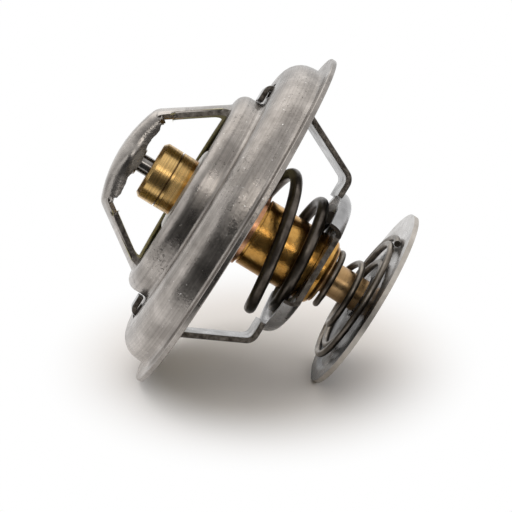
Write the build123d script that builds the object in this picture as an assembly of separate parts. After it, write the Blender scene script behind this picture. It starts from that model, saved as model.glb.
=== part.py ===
from build123d import *
import os
from math import cos, pi, sin

os.makedirs("parts", exist_ok=True)

# Engine thermostat, millimetres. The axis is Z, and Z = 0 is the flange face that seats in the engine.

# Pressed housing: flange, shoulder, collar and bridge drawn from one sheet
flange_diameter = 66.2
housing_sheet = 0.95
flange_ring_width = 3.0
shoulder_draft = 0.5
shoulder_height = 7.3
shoulder_round = 4.4
shelf_fall = 0.6
collar_diameter = 39.6
collar_height = 11.4
collar_round = 2.15
small_round = 0.8
cone_foot_diameter = 34.4
bend_diameter = 19.0
bend_drop = 1.9
bend_round = 2.6
bridge_height = 24.4
arm_width = 11.8
arm_foot_round = 1.8
crown_width = 9.4
crown_depth = 3.8
crown_edge_round = 2.0
crown_step = 0.2
bulge_swell = 0.7

# Pin and its socket in the crown
pin_diameter = 3.4
pin_tip = -8.0
socket_wall = 0.9
socket_drop = 0.6

# Spring bracket, hooked through two slots in the shelf of the housing
bracket_sheet = 1.0
bracket_width = 11.0
hook_width = 6.0
hook_place = 23.1
hook_reach = 2.5
hook_lift = 0.35
slot_clearance = 0.5
slot_inner_room = 1.2
arm_bend_height = 0.6
arm_bend_round = 3.0
elbow_place = 16.9
elbow_height = -13.3
elbow_round = 2.4
pan_diameter = 28.4
pan_floor = -15.1
pan_round = 2.6
pan_flats = 19.2
pan_rim_height = -13.1
ear_angle = 56.0
ear_round = 1.2
pan_hole_clearance = 0.45

# Wax element
case_diameter = 12.8
case_wall = 0.9
case_bottom = -17.9
case_floor = 1.6
case_end_round = 1.0
groove_height = -3.3
groove_width = 0.45
groove_depth = 0.35
sleeve_wall = 0.4
sleeve_bottom = -3.0
guide_diameter = 10.9
guide_top = 18.0
guide_bottom = 2.6
guide_chamfer = 0.9
guide_groove_height = 14.3
washer_sheet = 0.6
boot_flange = 1.2
boot_wall = 1.6
boot_end_wall = 1.8
wiper_height = 1.6
wiper_wall = 1.1

# Valve plate and its seal
plate_sheet = 1.0
hub_diameter = 16.6
hub_height = 11.3
trough_height = 7.7
trough_diameter = 31.0
plate_diameter = 36.0
plate_slope = 1.1
seal_width = 1.7
seal_sheet = 0.9
seal_lift = 0.15

# Main spring: radius of the coil and share of its height, at even steps along the wire from the pan
main_wire = 2.2
main_turns = 4.0
main_radii = (9.2, 9.4, 10.6, 11.9, 12.3, 12.4, 12.4, 12.4, 12.4)
main_rise = (0, 0.02, 0.14, 0.206, 0.5, 0.69, 0.86, 0.97, 1)

# Bypass valve
stem_diameter = 6.2
stem_end = -29.3
spigot_diameter = 4.4
spigot_height = 1.2
bypass_diameter = 34.6
bypass_sheet = 0.9
bypass_top = -26.1
bypass_dish_diameter = 29.2
bypass_dish_depth = 0.5
neck_height = 1.1
spring_washer_diameter = 11.0
spring_washer_height = 0.4
bypass_wire = 1.2
bypass_turns = 4.1
bypass_start_angle = -22.0
bypass_radii = (12.1, 12.7, 10.7, 10.7, 7.0, 7.1, 4.9, 5.2, 4.8)
bypass_rise = (0, 0.15, 0.08, 0.1, 0.03, 0.34, 0.47, 0.93, 1)
clip_diameter = 9.4
clip_sheet = 0.8
clip_neck = 0.5
clip_mouth = 3.6

# Clearances
running_clearance = 0.05
seat_clearance = 0.03
spring_gap = 0.1
clip_gap = 0.12

# Small shares and margins used in the modelling
points_per_turn = 12
full_turn = 360.0
pin_tip_chamfer_share = 0.25
same_place = 0.01

# Places worked out from the sizes above
flange_radius = flange_diameter / 2
foot_radius = flange_radius - flange_ring_width
shoulder_radius = foot_radius - shoulder_draft
collar_radius = collar_diameter / 2
cone_foot_radius = cone_foot_diameter / 2
bend_radius = bend_diameter / 2
bend_height = bridge_height - bend_drop
pin_radius = pin_diameter / 2
case_radius = case_diameter / 2
case_bore = case_radius - case_wall
guide_radius = guide_diameter / 2
stem_radius = stem_diameter / 2
pan_radius = pan_diameter / 2
crown_bottom = bridge_height - crown_depth
socket_bottom = crown_bottom - socket_drop
pin_top = bridge_height - housing_sheet
lip_bottom = collar_height - housing_sheet
case_top = hub_height - plate_sheet - seat_clearance
cavity_floor = case_bottom + case_floor
washer_bottom = guide_bottom - seat_clearance - washer_sheet
boot_top = washer_bottom - seat_clearance
boot_radius = pin_radius + running_clearance + boot_wall
boot_end = pin_tip - spring_gap - boot_end_wall
pin_bore = pin_radius + running_clearance
plate_rim_top = lip_bottom - seal_lift - seal_sheet - seat_clearance
trough_underside = trough_height - plate_sheet
spring_washer_top = case_bottom - seat_clearance
spring_washer_bottom = spring_washer_top - spring_washer_height
dish_top = bypass_top - bypass_dish_depth
disc_bottom = dish_top - bypass_sheet
clip_top = disc_bottom - clip_gap
clip_groove = stem_radius - clip_neck


def shelf_at(radius):
    """Height of the outside of the sloping shelf between the shoulder and the collar."""
    share = (shoulder_radius - radius) / (shoulder_radius - collar_radius)
    return shoulder_height - shelf_fall * share


def cone_at(height):
    """Outside radius of the conical bridge arms at one height."""
    share = (height - collar_height) / (bend_height - collar_height)
    return cone_foot_radius + (bend_radius - cone_foot_radius) * share


def along(values, share):
    """Value at a share of the way through a row of evenly spaced values, joined smoothly."""
    last = len(values) - 1
    place = share * last
    index = min(int(place), last - 1)
    rest = place - index
    before, start, end, after = (values[min(max(index + step, 0), last)] for step in (-1, 0, 1, 2))
    slope_in, slope_out = (end - before) / 2, (after - start) / 2
    turn_in = 3 * (end - start) - 2 * slope_in - slope_out
    turn_out = slope_in + slope_out - 2 * (end - start)
    return start + rest * (slope_in + rest * (turn_in + rest * turn_out))


def turned(*corners):
    """Solid of revolution from the corners of a half section, as radius and height pairs."""
    return revolve(make_face(Polyline(*[(r, 0, z) for r, z in corners], close=True)), Axis.Z)


def rod(radius, bottom, top):
    """Plain round bar between two heights."""
    return Pos(0, 0, (bottom + top) / 2) * Cylinder(radius, top - bottom)


def ring(outer, inner, bottom, top):
    """Plain turned ring between two heights."""
    return turned((inner, bottom), (outer, bottom), (outer, top), (inner, top))


def sheet_section(points, radii, thickness, side):
    """Section of a bent sheet: one face of it as a filleted line, thickened to one side."""
    line = FilletPolyline(*[(r, 0, z) for r, z in points], radius=radii)
    return Face(Wire(line.edges()).offset_2d(thickness, side=side))


def block(x0, x1, y0, y1, z0, z1):
    """Box between two corners."""
    middle = Pos((x0 + x1) / 2, (y0 + y1) / 2, (z0 + z1) / 2)
    return middle * Box(abs(x1 - x0), abs(y1 - y0), abs(z1 - z0))


def both_sides(solid):
    """A solid and its copy turned half a turn about the axis."""
    return [solid, Rot(0, 0, 180) * solid]


def drawn_shell():
    """Flange, shoulder, shelf, collar and the cone that the bridge arms are cut from."""
    points = [
        (flange_radius, housing_sheet),
        (foot_radius, housing_sheet),
        (shoulder_radius, shoulder_height),
        (collar_radius, shelf_at(collar_radius)),
        (collar_radius, collar_height),
        (cone_foot_radius, collar_height),
        (cone_at(crown_bottom + housing_sheet), crown_bottom + housing_sheet),
    ]
    radii = [small_round, shoulder_round, small_round, collar_round, small_round]
    return revolve(sheet_section(points, radii, housing_sheet, Side.LEFT), Axis.Z)


def window_cut():
    """Space beside one pair of arm edges, drawn across the bridge and cut right through it."""
    far = flange_radius
    corners = [
        (arm_width / 2, collar_height),
        (crown_width / 2, crown_bottom),
        (crown_width / 2, bridge_height + housing_sheet),
        (far, bridge_height + housing_sheet),
        (far, collar_height),
    ]
    face = make_face(Polyline(*[(0, y, z) for y, z in corners], close=True))
    foot = face.vertices().sort_by(Axis.Y)[:3].sort_by(Axis.Z)[0]
    return extrude(fillet(foot, arm_foot_round), far, dir=(1, 0, 0), both=True)


def crown_profile(inset, bottom):
    """Side view of the crown: an arch over the two bends, closed below."""
    side = cone_at(bottom) + crown_step - inset
    shoulder = (bend_radius + crown_step - inset, 0, bend_height - inset)
    apex = (0, 0, bridge_height - inset)
    across = (-shoulder[0], 0, shoulder[2])
    edges = [
        Line((side, 0, bottom), shoulder),
        ThreePointArc(shoulder, apex, across),
        Line(across, (-side, 0, bottom)),
        Line((-side, 0, bottom), (side, 0, bottom)),
    ]
    face = make_face(edges)
    return fillet(face.vertices().sort_by(Axis.Z)[-2:], bend_round - inset)


def rounded_block(inset, half_width, radius, bottom):
    """The crown's side view made solid across the bridge, with its long top edges rounded."""
    low = collar_height
    solid = extrude(crown_profile(inset, low), half_width, dir=(0, 1, 0), both=True)
    sides = [e for e in solid.edges() if abs(abs(e.center().Y) - half_width) < same_place]
    solid = fillet([e for e in sides if e.bounding_box().max.Z > low + radius], radius)
    return solid - block(-flange_radius, flange_radius, -flange_radius, flange_radius, 0, bottom)


def crown():
    """Arched strap with folded sides, swollen round the socket that holds the pin."""
    half = crown_width / 2
    outside = rounded_block(0, half, crown_edge_round, crown_bottom)
    swell = half + bulge_swell
    bulge_top = bridge_height - small_round
    bulge = rod(swell, crown_bottom, bulge_top)
    bulge = fillet(bulge.edges().sort_by(Axis.Z)[-1], crown_edge_round)
    socket = ring(pin_radius + socket_wall, pin_radius, socket_bottom, pin_top + housing_sheet / 2)
    inner_round = crown_edge_round - housing_sheet
    inside = rounded_block(housing_sheet, half - housing_sheet, inner_round, crown_bottom - housing_sheet)
    pocket_depth = bulge_top - socket_bottom - crown_depth / 2
    pocket = rod(swell - housing_sheet, socket_bottom - pocket_depth, socket_bottom + pocket_depth)
    pocket &= block(-swell, swell, -half, half, 0, bulge_top)
    pin_hole = rod(pin_radius + seat_clearance, socket_bottom, pin_top)
    return outside + bulge - inside - pocket + socket - pin_hole


def make_housing():
    """Whole pressing: shell with two windows, crown, and the two slots for the bracket."""
    window = window_cut()
    shell = drawn_shell() - window - mirror(window, Plane.XZ) + crown()
    slot_outer = hook_place + bracket_sheet / 2 + slot_clearance
    slot_inner = hook_place - bracket_sheet / 2 - slot_inner_room
    slot_half = hook_width / 2 + slot_clearance
    slot_bottom = shelf_at(slot_inner) - 2 * housing_sheet
    slot = block(slot_inner, slot_outer, -slot_half, slot_half, slot_bottom, collar_height)
    for cut in both_sides(slot):
        shell -= cut
    return shell


def make_pin():
    """Hardened pin with a rounded tip, held in the crown."""
    pin = rod(pin_radius, pin_tip, pin_top - seat_clearance)
    return chamfer(pin.edges().sort_by(Axis.Z)[0], pin_radius * pin_tip_chamfer_share)


def pan_side_cut():
    """Space beside the pan: a flat across the floor that opens out along the ends of the ears."""
    flat_y = pan_flats / 2
    angle = ear_angle * pi / 180
    flat_x = flat_y / sin(angle) * cos(angle)
    reach = 2 * pan_radius
    corners = [
        (-flat_x, flat_y),
        (flat_x, flat_y),
        (reach * cos(angle), reach * sin(angle)),
        (-reach * cos(angle), reach * sin(angle)),
    ]
    return extrude(make_face(Polyline(*corners, close=True)), 2 * pan_floor)


def make_bracket():
    """Bent strip with a pan pressed in its middle and a hook on each end."""
    outer_face = hook_place + bracket_sheet / 2
    hook_top = shelf_at(hook_place) + hook_lift + bracket_sheet
    points = [
        (outer_face - bracket_sheet - hook_reach, hook_top),
        (outer_face, hook_top),
        (outer_face, arm_bend_height),
        (elbow_place, elbow_height),
        (pan_radius - bracket_sheet, elbow_height),
    ]
    radii = [bracket_sheet + slot_clearance, arm_bend_round, elbow_round]
    section = sheet_section(points, radii, bracket_sheet, Side.RIGHT)
    arm = extrude(section, bracket_width / 2, dir=(0, 1, 0), both=True)
    hook_foot = arm_bend_height + small_round
    for side in (1, -1):
        near, far = side * hook_width / 2, side * bracket_width
        arm -= block(0, flange_radius, near, far, hook_foot, collar_height)
    pan_points = [
        (pan_radius, pan_rim_height),
        (pan_radius, pan_floor - bracket_sheet),
        (case_radius + pan_hole_clearance, pan_floor - bracket_sheet),
    ]
    pan = revolve(sheet_section(pan_points, [pan_round], bracket_sheet, Side.RIGHT), Axis.Z)
    for cut in both_sides(pan_side_cut()):
        pan -= cut
    rim = [e for e in pan.edges() if abs(e.center().Z - pan_rim_height) < same_place]
    pan = fillet([e for e in rim if e.geom_type == GeomType.LINE], ear_round)
    clear = rod(pan_radius - bracket_sheet, pan_floor, 0)
    for each in both_sides(arm - clear):
        pan += each
    return pan


def make_case():
    """Drawn brass cup with a groove, a rounded end and a blind hole for the stem."""
    corners = [
        (0, case_bottom),
        (case_radius, case_bottom),
        (case_radius, groove_height - groove_width / 2),
        (case_radius - groove_depth, groove_height - groove_width / 2),
        (case_radius - groove_depth, groove_height + groove_width / 2),
        (case_radius, groove_height + groove_width / 2),
        (case_radius, case_top),
        (case_bore, case_top),
        (case_bore, cavity_floor),
        (0, cavity_floor),
    ]
    cup = turned(*corners)
    cup = fillet(cup.edges().filter_by(GeomType.CIRCLE).sort_by(Axis.Z)[0], case_end_round)
    hole_depth = spigot_height + seat_clearance
    hole = rod(spigot_diameter / 2 + seat_clearance, case_bottom - hole_depth, case_bottom + hole_depth)
    return cup - hole


def make_sleeve():
    """Thin copper sleeve pressed over the upper end of the case."""
    inner = case_radius + seat_clearance
    return ring(inner + sleeve_wall, inner, sleeve_bottom, trough_underside - spring_gap)


def make_guide():
    """Turned guide with a chamfered nose, one groove and a counterbore for the wiper."""
    groove_low = guide_groove_height - groove_width / 2
    groove_high = guide_groove_height + groove_width / 2
    wiper_bore = pin_bore + wiper_wall + seat_clearance
    wiper_floor = guide_top - wiper_height - seat_clearance
    return turned(
        (pin_bore, guide_bottom),
        (guide_radius, guide_bottom),
        (guide_radius, groove_low),
        (guide_radius - groove_depth, groove_low),
        (guide_radius - groove_depth, groove_high),
        (guide_radius, groove_high),
        (guide_radius, guide_top - guide_chamfer),
        (guide_radius - guide_chamfer, guide_top),
        (wiper_bore, guide_top),
        (wiper_bore, wiper_floor),
        (pin_bore, wiper_floor),
    )


def make_boot():
    """Rubber boot that the pin slides in, closed at its lower end."""
    return turned(
        (0, boot_end),
        (boot_radius, boot_end),
        (boot_radius, boot_top - boot_flange),
        (case_bore - seat_clearance, boot_top - boot_flange),
        (case_bore - seat_clearance, boot_top),
        (pin_bore, boot_top),
        (pin_bore, boot_end + boot_end_wall),
        (0, boot_end + boot_end_wall),
    )


def make_wax():
    """Wax charge between the boot and the wall of the case."""
    outer = case_bore - seat_clearance
    inner = boot_radius + seat_clearance
    return turned(
        (0, cavity_floor + seat_clearance),
        (outer, cavity_floor + seat_clearance),
        (outer, boot_top - boot_flange - seat_clearance),
        (inner, boot_top - boot_flange - seat_clearance),
        (inner, boot_end - seat_clearance),
        (0, boot_end - seat_clearance),
    )


def make_plate():
    """Dished valve plate with a raised hub pressed on the guide."""
    points = [
        (guide_radius + seat_clearance, hub_height),
        (hub_diameter / 2, hub_height),
        (hub_diameter / 2, trough_height),
        (trough_diameter / 2, trough_height),
        (trough_diameter / 2 + plate_slope, plate_rim_top),
        (plate_diameter / 2, plate_rim_top),
    ]
    tight, wide = small_round / 2, plate_sheet + small_round / 2
    radii = [wide, tight, tight, wide]
    return revolve(sheet_section(points, radii, plate_sheet, Side.RIGHT), Axis.Z)


def make_seal():
    """Rubber ring on the rim of the plate, under the lip of the collar."""
    outer = plate_diameter / 2
    bottom = plate_rim_top + seat_clearance
    return ring(outer, outer - seal_width, bottom, bottom + seal_sheet)


def wound_wire(wire, turns, start_angle, radii, heights):
    """Round wire swept along a right-handed coil, from the angle in degrees where it starts."""
    count = round(turns * points_per_turn)
    points = []
    for index in range(count + 1):
        share = index / count
        angle = 2 * pi * (turns * share + start_angle / full_turn)
        radius = along(radii, share)
        points.append((radius * cos(angle), radius * sin(angle), along(heights, share)))
    path = Spline(*points)
    return sweep(Plane(origin=path @ 0, z_dir=path % 0) * Circle(wire / 2), path=path, is_frenet=True)


def make_main_spring():
    """Coil with close turns in the pan that opens out to the plate."""
    low = pan_floor + spring_gap + main_wire / 2
    high = trough_underside - spring_gap - main_wire / 2
    heights = [low + (high - low) * rise for rise in main_rise]
    return wound_wire(main_wire, main_turns, 0, main_radii, heights)


def make_stem():
    """Turned stem with a spigot in the case and a groove for the clip."""
    return turned(
        (0, stem_end),
        (stem_radius, stem_end),
        (stem_radius, clip_top - clip_sheet - seat_clearance),
        (clip_groove, clip_top - clip_sheet - seat_clearance),
        (clip_groove, clip_top + seat_clearance),
        (stem_radius, clip_top + seat_clearance),
        (stem_radius, case_bottom - seat_clearance),
        (spigot_diameter / 2, case_bottom - seat_clearance),
        (spigot_diameter / 2, case_bottom + spigot_height),
        (0, case_bottom + spigot_height),
    )


def make_disc():
    """Pressed disc with a shallow dish and a short neck round the stem."""
    bore = stem_radius + running_clearance
    points = [
        (bore + bypass_sheet, dish_top + neck_height),
        (bore + bypass_sheet, dish_top),
        (bypass_dish_diameter / 2 - bypass_dish_depth, dish_top),
        (bypass_dish_diameter / 2 + bypass_dish_depth, bypass_top),
        (bypass_diameter / 2, bypass_top),
    ]
    radii = [small_round / 2, small_round / 2, bypass_sheet + small_round / 2]
    return revolve(sheet_section(points, radii, bypass_sheet, Side.LEFT), Axis.Z)


def make_bypass_spring():
    """Conical spring from the dish of the disc up to the washer under the case."""
    low = dish_top + spring_gap + bypass_wire / 2
    high = spring_washer_bottom - spring_gap - bypass_wire / 2
    heights = [low + (high - low) * rise for rise in bypass_rise]
    return wound_wire(bypass_wire, bypass_turns, bypass_start_angle, bypass_radii, heights)


def make_clip():
    """Open snap ring in the groove of the stem."""
    bottom = clip_top - clip_sheet
    body = ring(clip_diameter / 2, clip_groove + seat_clearance, bottom, clip_top)
    mouth = clip_mouth / 2
    return body - block(0, clip_diameter, -mouth, mouth, bottom - clip_sheet, clip_top + clip_sheet)


def make_spring_washer():
    """Flat ring on the stem that the bypass spring pushes against."""
    bore = stem_radius + seat_clearance
    return ring(spring_washer_diameter / 2, bore, spring_washer_bottom, spring_washer_top)


def make_boot_washer():
    """Flat ring between the guide and the rubber boot."""
    return ring(case_bore - seat_clearance, pin_bore, washer_bottom, washer_bottom + washer_sheet)


def make_wiper():
    """Ring in the nose of the guide that wipes the pin."""
    return ring(pin_bore + wiper_wall, pin_bore, guide_top - wiper_height, guide_top - seat_clearance)


nodes = {
    "housing": make_housing(),
    "actuating_pin": make_pin(),
    "spring_bracket": make_bracket(),
    "main_spring": make_main_spring(),
    "element_case": make_case(),
    "case_sleeve": make_sleeve(),
    "guide_bush": make_guide(),
    "pin_wiper": make_wiper(),
    "boot_washer": make_boot_washer(),
    "rubber_boot": make_boot(),
    "wax_charge": make_wax(),
    "valve_plate": make_plate(),
    "valve_seal": make_seal(),
    "spring_washer": make_spring_washer(),
    "bypass_stem": make_stem(),
    "bypass_spring": make_bypass_spring(),
    "bypass_disc": make_disc(),
    "stem_clip": make_clip(),
}

for name, solid in nodes.items():
    export_step(solid, f"parts/{name}.step")
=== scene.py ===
"""Looks of an engine thermostat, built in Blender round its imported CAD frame.

Sizes in the classes are in millimetres in the part's own frame: the axis is Z, and Z = 0 is the
flange face that seats in the engine.
"""

import logging
import math
from dataclasses import dataclass, field
from enum import Enum
from typing import Callable, Sequence

import bpy
from mathutils import Matrix, Vector, noise

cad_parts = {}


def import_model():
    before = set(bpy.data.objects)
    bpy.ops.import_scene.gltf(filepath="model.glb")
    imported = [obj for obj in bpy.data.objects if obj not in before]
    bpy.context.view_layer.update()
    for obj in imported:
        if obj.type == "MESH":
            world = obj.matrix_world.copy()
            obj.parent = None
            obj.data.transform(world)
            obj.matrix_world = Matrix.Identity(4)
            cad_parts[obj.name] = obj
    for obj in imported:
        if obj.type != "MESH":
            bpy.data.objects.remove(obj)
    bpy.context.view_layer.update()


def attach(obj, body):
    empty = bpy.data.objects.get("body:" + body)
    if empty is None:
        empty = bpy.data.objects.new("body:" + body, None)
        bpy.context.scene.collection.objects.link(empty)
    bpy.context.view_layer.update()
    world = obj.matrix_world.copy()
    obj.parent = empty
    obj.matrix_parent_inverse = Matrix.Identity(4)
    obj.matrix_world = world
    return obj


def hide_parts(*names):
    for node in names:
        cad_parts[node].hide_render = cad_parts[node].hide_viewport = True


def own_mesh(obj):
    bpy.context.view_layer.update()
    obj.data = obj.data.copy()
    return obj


LOG = logging.getLogger("thermostat")
MM = 0.001
TURN_STEPS = 224
CLEAR = 0.03
NEAR = 0.01
Point2 = tuple[float, float]
Point3 = tuple[float, float, float]
Row = tuple[float, ...]
Colour = tuple[float, float, float]
Object = bpy.types.Object
Material = bpy.types.Material
Socket = bpy.types.NodeSocket
Test = Callable[[Vector, Vector], bool]
EdgeTest = Callable[[Sequence[Vector], Sequence[Vector]], bool]


class Boolean(Enum):
    """What a tool body does to a piece."""

    CUT = "DIFFERENCE"
    JOIN = "UNION"


# Modelling by hand

def deselect() -> None:
    """Leaves edit mode and clears the selection."""
    if bpy.context.mode != "OBJECT":
        bpy.ops.object.mode_set(mode="OBJECT")
    bpy.ops.object.select_all(action="DESELECT")


def take(piece: Object) -> Object:
    """Selects one piece alone and makes it active.

    Args:
        piece: the object to take.

    Returns:
        The same object.
    """
    deselect()
    piece.select_set(True)
    bpy.context.view_layer.objects.active = piece
    return piece


def edit(piece: Object, select: str = "SELECT") -> None:
    """Enters edit mode on one piece.

    Args:
        piece: the object to edit.
        select: SELECT to start with its whole mesh selected, DESELECT to start with nothing.
    """
    take(piece)
    bpy.ops.object.mode_set(mode="EDIT")
    bpy.ops.mesh.select_all(action=select)


def outward(piece: Object) -> None:
    """Turns the faces of a piece to one side, which is outwards on a closed one.

    Args:
        piece: the object to turn right.
    """
    edit(piece)
    bpy.ops.mesh.normals_make_consistent(inside=False)
    bpy.ops.object.mode_set(mode="OBJECT")


def settle(piece: Object, name: str, angle: float = 32.0) -> Object:
    """Names a piece, puts its place into its mesh, turns its faces outwards and smooths it.

    Args:
        piece: the finished mesh.
        name: its name in the model.
        angle: edges sharper than this, in degrees, stay sharp.

    Returns:
        The same object.
    """
    take(piece)
    bpy.ops.object.transform_apply(location=True, rotation=True, scale=True)
    edit(piece)
    bpy.ops.mesh.remove_doubles(threshold=1e-6)
    bpy.ops.mesh.normals_make_consistent(inside=False)
    bpy.ops.object.mode_set(mode="OBJECT")
    bpy.ops.object.shade_smooth_by_angle(angle=math.radians(angle))
    piece.name = piece.data.name = name
    return piece


def modify(piece: Object, kind: str, **settings: object) -> Object:
    """Adds one modifier with its settings and applies it.

    Args:
        piece: the object to change.
        kind: the modifier's type.
        settings: its properties by name.

    Returns:
        The same object.
    """
    take(piece)
    bpy.ops.object.modifier_add(type=kind)
    added = piece.modifiers[-1]
    for key, value in settings.items():
        setattr(added, key, value)
    bpy.ops.object.modifier_apply(modifier=added.name)
    return piece


def soften(piece: Object, width: float) -> Object:
    """Rounds every sharp edge of a piece.

    Args:
        piece: the object to change.
        width: the reach of each bevel in millimetres.

    Returns:
        The same object.
    """
    return modify(piece, "BEVEL", width=width * MM, segments=3, limit_method="ANGLE",
                  angle_limit=math.radians(60))


def cut(piece: Object, tool: Object, how: Boolean = Boolean.CUT) -> Object:
    """Cuts or joins a piece with a tool body, which is then deleted.

    Args:
        piece: the object that stays.
        tool: the object that cuts it or joins it.
        how: what the tool does.

    Returns:
        The piece.
    """
    modify(piece, "BOOLEAN", object=tool, operation=how.value, solver="EXACT", material_mode="TRANSFER")
    take(tool)
    bpy.ops.object.delete()
    return take(piece)


def bevel_where(piece: Object, test: EdgeTest, offset: float, segments: int) -> None:
    """Bevels the edges that pass a test.

    Args:
        piece: the object to change.
        test: a test on an edge's ends in millimetres and on the normals of the faces beside it.
        offset: the reach of the bevel in millimetres.
        segments: the number of faces across it.
    """
    edit(piece, "DESELECT")
    bpy.ops.mesh.select_mode(type="EDGE")
    bpy.ops.object.mode_set(mode="OBJECT")
    mesh = piece.data
    beside: dict[tuple[int, int], list[Vector]] = {}
    for face in mesh.polygons:
        for key in face.edge_keys:
            beside.setdefault(key, []).append(face.normal.copy())
    for edge in mesh.edges:
        ends = [mesh.vertices[index].co / MM for index in edge.vertices]
        edge.select = test(ends, beside.get(tuple(sorted(edge.vertices)), []))
    bpy.ops.object.mode_set(mode="EDIT")
    bpy.ops.mesh.bevel(offset=offset * MM, segments=segments)
    bpy.ops.object.mode_set(mode="OBJECT")


def rounded(corners: Sequence[Point2], rounds: Sequence[float], fineness: int = 7) -> list[Point2]:
    """Rounds the inner corners of a line with arcs.

    Args:
        corners: the sharp line.
        rounds: the radius at each inner corner, 0 for a sharp one.
        fineness: the number of chords in each arc.

    Returns:
        The points of the rounded line.
    """
    line = [corners[0]]
    for before, here, after, radius in zip(corners, corners[1:], corners[2:], rounds):
        start, corner, end = Vector(before), Vector(here), Vector(after)
        back, ahead = (start - corner).normalized(), (end - corner).normalized()
        opening = back.angle(ahead)
        if radius <= 0 or opening > math.pi - 1e-3:
            line.append(here)
            continue
        reach = radius / math.tan(opening / 2)
        centre = corner + (back + ahead).normalized() * radius / math.sin(opening / 2)
        first, last = corner + back * reach - centre, corner + ahead * reach - centre
        sweep = first.angle(last)
        way = 1.0 if first.x * last.y - first.y * last.x > 0 else -1.0
        for step in range(fineness + 1):
            angle = way * sweep * step / fineness
            cos, sin = math.cos(angle), math.sin(angle)
            line.append((centre.x + first.x * cos - first.y * sin, centre.y + first.x * sin + first.y * cos))
    line.append(corners[-1])
    return [here for index, here in enumerate(line) if not index or math.dist(here, line[index - 1]) > 1e-4]


def sheet_loop(line: Sequence[Point2], gauge: float) -> list[Point2]:
    """Closed section of a sheet: a line and the same line moved to its left by the gauge.

    Args:
        line: one face of the sheet.
        gauge: the thickness; a negative one puts the other face on the line's right.

    Returns:
        The corners of the closed section.
    """
    other = []
    for index, point in enumerate(line):
        before, after = Vector(line[max(index - 1, 0)]), Vector(line[min(index + 1, len(line) - 1)])
        here = Vector(point)
        runs = [run.normalized() for run in (here - before, after - here) if run.length > 1e-6]
        normals = [Vector((-run.y, run.x)) for run in runs]
        mean = sum(normals, Vector((0, 0))).normalized()
        other.append(tuple(here + mean * gauge / max(mean.dot(normals[0]), 0.3)))
    return list(line) + other[::-1]


def turn(section: Sequence[Point2], solid: bool = False, steps: int = TURN_STEPS) -> Object:
    """Turns a half section about the axis: a circle is extruded and resized from place to place.

    Args:
        section: radius and height pairs, all off the axis.
        solid: True closes both ends with caps; False bridges the last circle to the first.
        steps: the number of vertices round the axis.

    Returns:
        The new mesh.
    """
    deselect()
    radius, height = section[0]
    bpy.ops.mesh.primitive_circle_add(
        vertices=steps, radius=radius * MM, location=(0, 0, height * MM),
        fill_type="TRIFAN" if solid else "NOTHING",
    )
    piece = bpy.context.active_object
    bpy.ops.object.mode_set(mode="EDIT")
    for next_radius, next_height in section[1:]:
        rise = (next_height - height) * MM
        bpy.ops.mesh.extrude_region_move(TRANSFORM_OT_translate={"value": (0, 0, rise)})
        ratio = next_radius / radius
        if abs(ratio - 1) > 1e-9:
            bpy.ops.transform.resize(value=(ratio, ratio, 1), center_override=(0, 0, next_height * MM))
        radius, height = next_radius, next_height
    if not solid:
        bpy.ops.mesh.select_all(action="DESELECT")
        bpy.ops.mesh.select_non_manifold(extend=False, use_wire=True, use_boundary=True)
        bpy.ops.mesh.bridge_edge_loops()
    bpy.ops.object.mode_set(mode="OBJECT")
    return piece


def patch(rows: Sequence[Sequence[Vector]]) -> Object:
    """Bends a flat grid so that its vertices lie on rows of given places.

    Args:
        rows: the places in millimetres, row by row, all rows of one length.

    Returns:
        The bent open surface.
    """
    deselect()
    bpy.ops.mesh.primitive_grid_add(x_subdivisions=len(rows[0]) - 1, y_subdivisions=len(rows) - 1, size=1)
    piece = bpy.context.active_object
    flat = sorted(piece.data.vertices, key=lambda v: (round(v.co.y, 5), v.co.x))
    for vertex, place in zip(flat, (p for row in rows for p in row), strict=True):
        vertex.co = place * MM
    return piece


def block(corner: Sequence[float], opposite: Sequence[float]) -> Object:
    """Adds a plain box as a cutting tool.

    Args:
        corner: one corner in millimetres.
        opposite: the corner across from it.

    Returns:
        The box.
    """
    deselect()
    middle = [(a + b) / 2 * MM for a, b in zip(corner, opposite)]
    size = [abs(b - a) * MM for a, b in zip(corner, opposite)]
    bpy.ops.mesh.primitive_cube_add(size=1, location=middle, scale=size)
    tool = bpy.context.active_object
    bpy.ops.object.transform_apply(location=True, rotation=True, scale=True)
    return tool


def prism(outline: Sequence[Point2], low: float, high: float) -> Object:
    """Extrudes a flat outline as a cutting tool.

    Args:
        outline: its corners in the XY plane, in millimetres.
        low: the height of its underside.
        high: the height of its top.

    Returns:
        The prism.
    """
    deselect()
    bpy.ops.mesh.primitive_circle_add(vertices=len(outline), radius=MM, fill_type="NGON")
    tool = bpy.context.active_object
    for vertex, (x, y) in zip(tool.data.vertices, outline):
        vertex.co = (x * MM, y * MM, low * MM)
    edit(tool)
    bpy.ops.mesh.extrude_region_move(TRANSFORM_OT_translate={"value": (0, 0, (high - low) * MM)})
    outward(tool)
    return tool


def wire(points: Sequence[Vector], thickness: float, fineness: int = 6) -> Object:
    """Draws round wire along a line, with flat cut ends.

    Args:
        points: the centre line in millimetres.
        thickness: the wire's diameter.
        fineness: the bevel resolution of the round section.

    Returns:
        The wire as a mesh.
    """
    deselect()
    bpy.ops.curve.primitive_nurbs_path_add()
    piece = bpy.context.active_object
    piece.data.splines.clear()
    line = piece.data.splines.new("POLY")
    line.points.add(len(points) - 1)
    for slot, place in zip(line.points, points):
        slot.co = (*(place * MM), 1)
    piece.data.twist_mode = "MINIMUM"
    piece.data.bevel_depth = thickness / 2 * MM
    piece.data.bevel_resolution = fineness
    piece.data.use_fill_caps = True
    bpy.ops.object.convert(target="MESH")
    return bpy.context.active_object


def ease(share: float) -> float:
    """Smooth rise from 0 to 1."""
    share = min(max(share, 0.0), 1.0)
    return share * share * (3 - 2 * share)


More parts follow.
